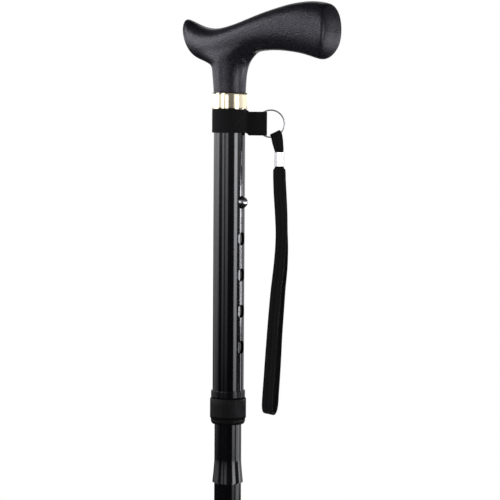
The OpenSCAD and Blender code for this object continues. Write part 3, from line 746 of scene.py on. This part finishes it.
# rows of a lower tube, above its mouth and below its top
sectionRows = {"mouth": [0.8 * k for k in range(21)] + [18, 40], "top": (20, 4, 1, 0)}


def makeSectionTube(number, low, high, radiusAt):
    heights = [low + up for up in sectionRows["mouth"]] + [(low + high) / 2]
    heights += [high - down for down in sectionRows["top"]]
    outside = [(radiusAt(z), z) for z in heights]
    inside = [(radius - sheet["wall"], z) for radius, z in reversed(outside)]
    body = f"section_{number}"
    spinPiece(f"sectionTube{number}", outside + inside, lower["bevel"], 3, tubeEnamel, body, [body + "_tube"], "tube")


for number in (2, 3):
    high, low = mouths[number - 2:number]
    makeSectionTube(number, low, high, bellRadius(low))
makeSectionTube(4, lower["foot"], mouths[2], lambda z: lower["radius"])

# bullet-nosed plugs that enter the bells, with a nose that swings clear of the bell
plug = {"radius": 8.25, "bore": 1.8, "tall": 13, "swing": 23.2, "fold": 14, "noseRows": 14, "steps": 72,
        "bevel": 0.33}
# depth below the mouth and how far in, from the lower end up past the groove
plugRows = [(22, 0), (20, 0), (10.4, 0), (10, 0.6), (8.4, 0.6), (8, 0), (2, 0)]


def makePlug(number, mouth):
    p = plug
    foot = [(p["bore"], mouth - plugRows[0][0])]
    foot += [(p["radius"] - inwards, mouth - deep) for deep, inwards in plugRows]
    rises = [p["tall"] * k / p["noseRows"] for k in range(p["noseRows"] + 1)]
    nose = [(min(p["radius"], sqrt(p["swing"] ** 2 - up * up) - p["fold"]), mouth + up) for up in rises]
    nose.append((p["bore"], mouth + p["tall"]))
    body = f"section_{number}"
    spinPiece(f"sectionPlug{number}", foot + nose, p["bevel"], 3, plugPlastic, body, [body + "_spigot"], "plug",
              steps=p["steps"])


for number, mouth in enumerate(mouths, 2):
    makePlug(number, mouth)

# lock sleeve: a plain ring on the tube's end, with a neck inside the nut
sleeve = {"ringLow": 566.4, "ringHigh": 571.3, "ringR": 12, "neckR": 11.2, "neckLow": 554.4, "bore": 9.8,
          "seatR": 11.05, "seatLow": 567.4, "support": 0.45, "bevel": 0.2, "steps": 112}


def makeSleeve():
    s = sleeve
    neck = [(s["bore"], s["neckLow"]), (s["neckR"], s["neckLow"]), (s["neckR"], s["ringLow"])]
    ringRows = (s["ringLow"], s["ringLow"] + s["support"], s["ringHigh"] - s["support"], s["ringHigh"])
    seat = [(s["seatR"], s["ringHigh"]), (s["seatR"], s["seatLow"]), (s["bore"], s["seatLow"])]
    spinPiece("lockSleeve", neck + [(s["ringR"], z) for z in ringRows] + seat, s["bevel"], 2, sleeveGloss,
              "upper_shaft", ["lock_sleeve"], "lock_plastic", steps=s["steps"])


# lock nut: ribs above a plain rounded lip; the lean keeps rings that are bridged out of one plane
nut = {"low": 547.5, "tall": 18.6, "radius": 12.7, "bore": 9.8, "wideBore": 11.35, "floor": 550.2, "lean": 0.25,
       "round": 3, "tuck": 1.7, "lipIn": 0.6, "lipRows": (0, 0.2, 0.5, 0.9, 1.4, 2, 2.6, 3, 4.2),
       "ribs": 60, "ribDeep": 0.25, "ribShape": (0, 0.55, 1, 0.55), "ribRows": (4.45, 6, 10, 14, 17.6),
       "rimEdge": 0.35, "rimIn": 0.6}


def makeNut():
    n = nut
    top = n["low"] + n["tall"]
    ribbed = [n["radius"] - n["ribDeep"] * wave for wave in n["ribShape"]] * n["ribs"]

    def plain(radius, z):
        return ringOf([radius] * len(ribbed), z)

    def lipRadius(up):
        t = min(1, up / n["round"])
        return n["radius"] - n["lipIn"] - n["tuck"] * (1 - sqrt(1 - (1 - t) ** 2))

    loops = [plain(n["bore"], n["low"] + n["lean"])]
    loops += [plain(lipRadius(up), n["low"] + up) for up in n["lipRows"]]
    loops += [ringOf(ribbed, n["low"] + up) for up in n["ribRows"]]
    loops += [plain(n["radius"] - n["rimEdge"], top - n["rimEdge"]), plain(n["radius"] - n["rimIn"], top)]
    loops += [plain(n["wideBore"], top - n["lean"]), plain(n["wideBore"], n["floor"] + n["lean"])]
    loops.append(plain(n["bore"], n["floor"]))
    bm = bmesh.new()
    rings = bridgeRings(bm, loops)
    bmesh.ops.bridge_loops(bm, edges=rings[-1][1] + rings[0][1])
    faceOut(bm)
    addPiece("lockNut", bm, nutNylon, "lock_nut", ["lock_nut"], "lock_plastic")


makeSleeve()
makeNut()
print("lock parts made")

# domed button, and the bent strip behind it that is its spring
button = {"height": 703.7, "radius": 4.1, "rim": 11.6, "dome": 3.2, "support": 0.25}
clip = {"x": 7.1, "past": 1.6, "thick": 0.8, "wide": 8, "bendR": 2.4, "bendSteps": 10, "low": 663.7, "edge": 0.12}


def makeButton():
    b = button
    ball = (b["radius"] ** 2 + b["dome"] ** 2) / (2 * b["dome"])
    rimUp = ball - b["dome"]  # from the ball's centre to the rim
    bm = bmesh.new()
    bmesh.ops.create_uvsphere(bm, u_segments=64, v_segments=40, radius=ball)
    bmesh.ops.bisect_plane(bm, geom=wholeOf(bm), plane_co=(0, 0, rimUp), plane_no=(0, 0, 1), clear_inner=True)
    for drop in (b["support"], b["rim"] - clip["x"] - b["support"]):
        extrudeEdges(bm, openEdges(bm.edges), (0, 0, -drop))
    bmesh.ops.edgeloop_fill(bm, edges=openEdges(bm.edges))
    faceOut(bm)
    putAt(bm, Matrix.Translation((b["rim"] - rimUp, 0, b["height"])) @ Matrix.Rotation(pi / 2, 4, "Y"))
    addPiece("snapButton", bm, brightPlate, "snap_button", ["snap_button"], "button")


def makeClip():
    c, high = clip, button["height"]
    leg, bend = c["x"] - c["thick"] / 2, c["bendR"] - c["thick"] / 2
    past = button["radius"] + c["past"]
    turns = anglesOf(c["bendSteps"], pi)[1:]
    line = [(leg, high + past), (leg, high - past), (bend, c["low"])]
    line += [(bend * cos(a), c["low"] - bend * sin(a)) for a in turns] + [(-bend, c["low"]), (-leg, high)]
    bm = bmesh.new()
    _, edges = drawLine(bm, [(x * mm, -c["wide"] / 2 * mm, z * mm) for x, z in line])
    extrudeEdges(bm, edges, (0, c["wide"] * mm, 0))
    faceOut(bm)
    piece = addPiece("buttonClip", bm, stampedSteel, slot="button")
    addWall(piece, c["thick"], 0, c["edge"])
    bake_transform(piece)


makeButton()
makeClip()
print("button made")

# woven band that wraps the tube and comes together as the ring's tab
band = {"radius": 11.65, "low": 752, "tall": 16.1, "thick": 1.15, "rows": 14, "steps": 72, "gap": 9,
        "layerV": 0.6, "tabTall": 16.6, "tabDrop": 1.6, "tabU": 11.9, "tabLong": 1.6, "foldSteps": 8,
        "edge": 0.3, "edgeAngle": 60, "hingeU": (12.2, 15.5), "hingeZ": 758}
# one layer of the tab, from the band to the end of the ring's pocket
tabLayer = [(12.6, -1), (13.5, -0.6), (15.4, -0.6), (17.6, -0.6), (18.8, -1.12), (20, -1.4), (22.2, -1.4),
            (24.2, -1.4)]


def makeBand():
    b = band
    gap = asin(b["layerV"] / b["radius"]) + radians(b["gap"])
    turns = [gap + (2 * pi - 2 * gap) * k / b["steps"] for k in range(b["steps"] + 1)]
    line = [(b["radius"] * cos(a), b["radius"] * sin(a)) for a in turns] + tabLayer
    pocketU, pocketV = tabLayer[-1]
    folds = anglesOf(b["foldSteps"], pi)[1:]
    line += [(pocketU - pocketV * sin(a), pocketV * cos(a)) for a in folds]
    line += [(u, -v) for u, v in reversed(tabLayer)]
    bm = bmesh.new()
    verts, edges = drawLine(bm, [(u, v, 0) for u, v in line], closed=True)
    for _ in range(b["rows"]):
        _, edges = extrudeEdges(bm, edges, (0, 0, 1 / b["rows"]))

    def spotOf(vert):
        return round(vert.co.x, 4), round(vert.co.y, 4)

    # lengths along the strip for the weave
    lengths = dict(zip(map(spotOf, verts), runLengths([v.co for v in verts])))
    places = {v: (lengths[spotOf(v)], v.co.z * b["tall"]) for v in bm.verts}
    mapWeave(bm, places, max(lengths.values()))
    for v in bm.verts:
        share = ease((v.co.x - b["tabU"]) / b["tabLong"])
        tall = b["tall"] + (b["tabTall"] - b["tall"]) * share
        mid = b["low"] + b["tall"] / 2 - b["tabDrop"] * share
        v.co.z = mid + (v.co.z - 0.5) * tall
    faceOut(bm)
    putAt(bm, tabTurn)
    piece = addPiece("strapBand", bm, wovenWebbing, nodes=["strap_band", "ring_tab"], slot="webbing")
    addWall(piece, b["thick"], 0, b["edge"], segments=3, angle=b["edgeAngle"])
    start, end = (tabTurn @ Vector((u, 0, b["hingeZ"])) * mm for u in b["hingeU"])
    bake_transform(piece)
    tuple(start)
    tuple(end)


makeBand()

# split ring: two close turns of flattened wire
ring = {"u": 28.75, "z": 758.45, "radius": 9.45, "wire": 1, "turnThick": 0.52, "turns": 1.9, "steps": 180,
        "sides": 12, "endAngle": 200}


def makeRing():
    r = ring
    bm = bmesh.new()
    start = Matrix.Translation((r["radius"], 0, -r["turnThick"] / 2)) @ Matrix.Rotation(pi / 2, 4, "X")
    flat = start @ Matrix.Diagonal((r["wire"], r["turnThick"], 1, 1))
    section = bmesh.ops.create_circle(bm, segments=r["sides"], radius=0.5, matrix=flat)["verts"]
    rise = r["turnThick"] * r["turns"] / r["steps"]
    spinLine(bm, section + edgesOf(section), 2 * pi * r["turns"], r["steps"], dvec=(0, 0, rise))
    bmesh.ops.holes_fill(bm, edges=openEdges(bm.edges), sides=r["sides"])
    faceOut(bm)
    upright = Matrix.Rotation(pi / 2, 4, "X") @ Matrix.Rotation(radians(r["endAngle"]), 4, "Z")
    putAt(bm, tabTurn @ Matrix.Translation((r["u"], 0, r["z"])) @ upright)
    addPiece("splitRing", bm, ringWire, "key_ring", ["split_ring"], "ring")


makeRing()
print("band, tab and ring made")

# elastic cord: a run in each section and two spans at each folding joint
elastic = {"radius": 1.5, "sides": 16, "reach": 40, "nose": 13, "runRows": 24, "stretchRows": 30, "bendRows": 40}


def makeCordRun(name, high, low, rows, body=None, nodes=()):
    e = elastic
    drops = [(high - low) * row / rows for row in range(rows + 1)]
    loops = [ringOf([e["radius"]] * e["sides"], high - drop) for drop in drops]
    return loftCloth(name, loops, drops, 2 * pi * e["radius"], elasticBraid, body, nodes, "elastic")


uppers = ("inner_shaft", "section_2", "section_3")
cordTop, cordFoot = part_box("elastic_cord_1")[1].z / mm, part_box("elastic_cord_4")[0].z / mm
noses = [mouth + elastic["nose"] for mouth in mouths]
joints = zip(mouths, noses, uppers, [cordTop] + noses)
for number, (mouth, nose, upperBody, top) in enumerate(joints, 1):
    reach = mouth + elastic["reach"]
    makeCordRun(f"cordRun{number}", top, reach, elastic["runRows"], upperBody, [f"elastic_cord_{number}"])
    stretch = makeCordRun(f"cordStretch{number}", reach, mouth, elastic["stretchRows"],
                          nodes=[f"cord_span_{number}"])
    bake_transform(stretch)
    bend = makeCordRun(f"cordBend{number}", nose, mouth, elastic["bendRows"])
    ends = [(f"cord_link_{number}", mouth), (f"section_{number + 1}", nose)]
    if number == 1:
        ends.reverse()  # the first joint lists its two bodies the other way round
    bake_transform(bend)
makeCordRun("cordRun4", noses[-1], cordFoot, elastic["runRows"], "section_4", ["elastic_cord_4"])
print("elastic cord threaded")

# rubber tip with round treads below; the outline is radius and height, up the outside and down the bore
tip = {"treadW": 1.2, "treadDeep": 1.5, "treadEdge": 0.6, "treads": (5.625, 9.375), "bevel": 0.25,
       "bevelAngle": 25}
tipOutline = [
    (15, 0), (16, 1), (16, 3.4), (15.65, 3.7), (15.65, 4.1), (16, 4.4), (16, 6), (15, 8), (12.8, 11), (12.55, 20),
    (12.35, 32), (12.2, 42), (12.8, 42.6), (12.8, 44.4), (12.2, 45), (9.85, 45), (9.55, 44.6), (9.55, 10),
    (9.55, 9), (0, 9)]


def makeTip():
    t = tip
    base = [(0, 0)]
    for near, far in ((r, r + t["treadW"]) for r in t["treads"]):
        base += [(near - t["treadEdge"], 0), (near, 0), (near, t["treadDeep"])]
        base += [(far, t["treadDeep"]), (far, 0), (far + t["treadEdge"], 0)]
    spinPiece("rubberTip", base + tipOutline, t["bevel"], 2, tipRubber, "section_4", ["rubber_tip"], "tip",
              closed=False, angle=t["bevelAngle"])


makeTip()

# small inner pieces keep their solids and get a finish
innerFinish = {"lock_bush": naturalNylon, "cord_anchor": naturalNylon, "cord_end_plug": naturalNylon,
               "cord_knot_top": elasticBraid, "cord_knot_bottom": elasticBraid, "tip_washer": stampedSteel}
for name, finish in innerFinish.items():
    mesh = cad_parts[name].data
    mesh.materials.clear()
    mesh.materials.append(finish)
print("tip and inner pieces dressed")

# studio, in metres: white surround, tall soft panels on both sides that fade downwards, a dark gap in front
studio = {"fill": 0.28, "full": 0.92, "lampTint": (0.95, 0.955, 1), "screenAway": 2.1, "screenLow": -0.5,
          "ceiling": 2.6, "table": 0.0004, "riseLow": 0.1, "riseHigh": 0.82, "screenSteps": 32,
          "floorR": 2.4, "floorGlow": 0.62, "floorTone": 0.86, "floorFade": (0.4, 0.97)}
# distance, two angles from the camera's side, lowest and highest point, brightness, steepness of fade, grid angle
panels = {"farLeft": (1.6, -137, -109, 0.22, 0.85, 1.5, 0.9, 180),
          "backLeft": (1.6, -109, -94, 0.22, 0.85, 3.3, 1.5, 180),
          "midLeft": (1.6, -94, -79, 0.22, 1.85, 5.4, 1.9, 180),
          "left": (1.6, -52, -37, 0.28, 1.5, 3.9, 1.7, 180),
          "nearLeft": (1.6, -28, -8, 0.28, 0.81, 2.4, 1.7, 180),
          "right": (1.6, 38, 62, 0.12, 0.76, 7.3, 1.1, 180),
          "edge": (0.4, 88.5, 111, 0.575, 0.7, 1.4, 0.2, 44),
          "midRight": (1.6, 97, 113, 0.33, 0.46, 2.6, 0.2, 180),
          "lowRight": (1.6, 72, 110, 0.1, 0.33, 2, 0.2, 180)}
# two angles, brightness, steepness of the fade downwards, heights between which it darkens upwards, and how far
screens = {"leftBack": (-170, -138, 1.6, 4, 0.85, 1, 0.18), "leftScreen": (-138, -10, 0.6, 4, 0.85, 1, 0.18),
           "frontScreen": (-10, 35, 0.26, 4, 0.85, 1, 0.18), "rightScreen": (35, 100, 1.3, 4, 0.81, 0.92, 0.1),
           "rightBack": (100, 130, 1.35, 0.3, 0.765, 0.795, 0.07),
           "farBack": (130, 166, 0.75, 0.3, 0.77, 0.81, 0.07)}
# bright strips at the collar's height, which its polished side mirrors: two angles, brightness
collarStrips = {"leftStrip": (-79, -52, 1.7), "midStrip": (28, 38.5, 2.2), "rightStrip": (86, 166, 1.5)}
stripPlace = {"away": 1.55, "low": 0.768, "high": 0.812}


def makeDisc(radius, sides, height=0):
    bm = bmesh.new()
    bmesh.ops.create_circle(bm, cap_ends=True, segments=sides, radius=radius)
    bmesh.ops.translate(bm, vec=(0, 0, height), verts=bm.verts)
    return bm


def atAngle(angle, away):
    return (viewBack * cos(radians(angle)) + viewSide * sin(radians(angle))) * away


def seenRays(near):
    rays = addNode(near, "LightPath").outputs
    seen = mathNode("MAXIMUM", rays["Is Camera Ray"], rays["Is Glossy Ray"])
    return mathNode("MAXIMUM", seen, rays["Is Transmission Ray"])


def setWorld():
    world = bpy.data.worlds.new("studio")
    world.use_nodes = True
    scene.world = world
    tree = world.node_tree
    tree.nodes.clear()
    mix = addNode(tree, "MixShader")
    link(seenRays(tree), mix, "Fac")
    for place, strength in ((1, studio["fill"]), (2, 1)):
        light = addNode(tree, "Background", Color=(1, 1, 1, 1), Strength=strength)
        link(light.outputs["Background"], mix, place)
    link(mix.outputs["Shader"], addNode(tree, "OutputWorld"), "Surface")


def setPanels():
    for name, (away, first, last, low, high, bright, fade, grid) in panels.items():
        middle = (first + last) / 2
        wide, tall = 2 * away * sin(radians((last - first) / 2)), high - low
        lamp = bpy.data.lights.new(name, "AREA")
        lamp.shape = "RECTANGLE"
        lamp.size = wide
        lamp.size_y = tall
        lamp.energy = bright * pi * wide * tall
        lamp.color = studio["lampTint"]
        lamp.spread = radians(grid)
        lamp.use_nodes = True
        tree = lamp.node_tree
        up = splitAxes(addNode(tree, "NewGeometry").outputs["Parametric"])["Y"]
        rise = mathNode("MULTIPLY", up, max(1, tall / (studio["full"] - low)))
        glow = mathNode("POWER", mathNode("MINIMUM", rise, 1), fade)
        link(glow, tree.nodes["Emission"], "Strength")
        spot = atAngle(middle, away) + Vector((0, 0, (low + high) / 2))
        stand = setUp(name, lamp, spot, (-atAngle(middle, 1)).to_track_quat("-Z", "Y"))
        stand.visible_camera = False


# only reflections show such a piece
def hideExceptGloss(piece):
    for ray in ("camera", "diffuse", "transmission", "shadow"):
        setattr(piece, "visible_" + ray, False)


def bendScreen(name, first, last, bright, away, low, high):
    bm = bmesh.new()
    line, edges = drawLine(bm, [atAngle(first, away) + Vector((0, 0, z)) for z in (low, high)])
    spinLine(bm, line + edges, radians(last - first), studio["screenSteps"])
    material, shader = startMaterial(name, Base_Color=(0, 0, 0, 1), Roughness=1, Specular_IOR_Level=0,
                                     Emission_Color=(*studio["lampTint"], 1), Emission_Strength=bright)
    material.cycles.emission_sampling = "NONE"
    hideExceptGloss(addPiece(name, bm, material))
    return shader


def setScreens():
    s = studio
    for name, (first, last, bright, fade, drop, dark, dim) in screens.items():
        shader = bendScreen(name, first, last, bright, s["screenAway"], s["screenLow"], s["ceiling"])
        height = splitAxes(coordsOf(shader, "Object"))["Z"]
        rise = mapRange(height, From_Min=s["riseLow"], From_Max=s["riseHigh"])
        fall = mapRange(height, {"interpolation_type": "SMOOTHSTEP"}, From_Min=drop, From_Max=dark,
                        To_Min=bright, To_Max=dim)
        glow = mathNode("MULTIPLY", mathNode("POWER", rise, fade), fall)
        link(glow, shader, "Emission Strength")
    for name, (first, last, bright) in collarStrips.items():
        bendScreen(name, first, last, bright, **stripPlace)
    for name, height in (("darkCeiling", s["ceiling"]), ("darkTable", s["table"])):
        material, shader = startMaterial(name, Roughness=1, Specular_IOR_Level=0)
        cloth = objectNoise(shader, scale=8, detail=2)
        setTone(shader, cloth, (0.3, (0.01, 0.01, 0.011)), (0.7, (0.016, 0.016, 0.017)))
        hideExceptGloss(addPiece(name, makeDisc(s["screenAway"], 64, height), material))


# pale round floor that brightens outwards into the white surround
def setFloor():
    material, shader = startMaterial("paleFloor", Roughness=0.9, Specular_IOR_Level=0.1,
                                     Emission_Color=(1, 1, 1, 1))
    away = addNode(shader, "VectorMath", {"operation": "LENGTH"})
    link(coordsOf(shader, "Object"), away, "Vector")
    near, far = (studio["floorR"] * share for share in studio["floorFade"])
    edge = mapRange(away.outputs["Value"], {"interpolation_type": "SMOOTHSTEP"}, From_Min=near, From_Max=far)
    setTone(shader, edge, (0, (studio["floorTone"],) * 3), (1, (0, 0, 0)))
    glow = mapRange(edge, To_Min=studio["floorGlow"], To_Max=1)
    link(mathNode("MULTIPLY", seenRays(shader), glow), shader, "Emission Strength")
    material.cycles.emission_sampling = "NONE"
    addPiece("paleFloor", makeDisc(studio["floorR"], 96), material)


setWorld()
setPanels()
setScreens()
setFloor()
scene.view_settings.view_transform = "Standard"
print("studio lit")
